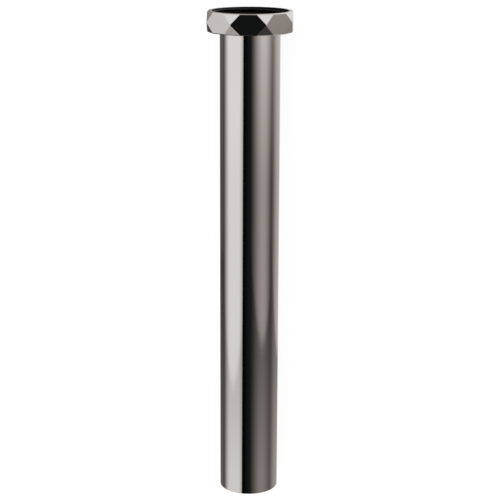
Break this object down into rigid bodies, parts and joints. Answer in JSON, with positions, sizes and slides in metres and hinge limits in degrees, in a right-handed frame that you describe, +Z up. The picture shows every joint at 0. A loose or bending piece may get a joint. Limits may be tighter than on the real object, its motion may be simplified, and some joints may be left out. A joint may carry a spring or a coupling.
{
  "type": "basin waste tail pipe",
  "caption": "Straight flanged metal tail pipe for a basin waste, with a loose eight-sided union nut and a flat sealing washer.",
  "frame": {"origin": "middle of the footprint, on the surface that the pipe lies on", "axes": "+Y along the pipe towards the union nut's open mouth, +Z up, +X to the right when the nut is furthest away. The pipe's axis rises 1.42 degrees towards the nut, because it rests on a flat of the nut and on the edge of the plain end"},
  "size_m": [0.0448, 0.2674, 0.0449],
  "materials": {
    "gunmetal_plating": "polished warm grey gunmetal plating over brass",
    "black_rubber": "matt black rubber"
  },
  "bodies": {
    "tube": {"tail_tube": "gunmetal_plating", "sealing_washer": "black_rubber"},
    "nut": {"union_nut": "gunmetal_plating"}
  },
  "joints": [
    {"name": "nut_spin", "type": "hinge", "parent": "tube", "child": "nut", "pos_m": [0, 0.12218, 0.02233], "axis": [0, 0.9997, 0.0248], "continuous": true}
  ]
}
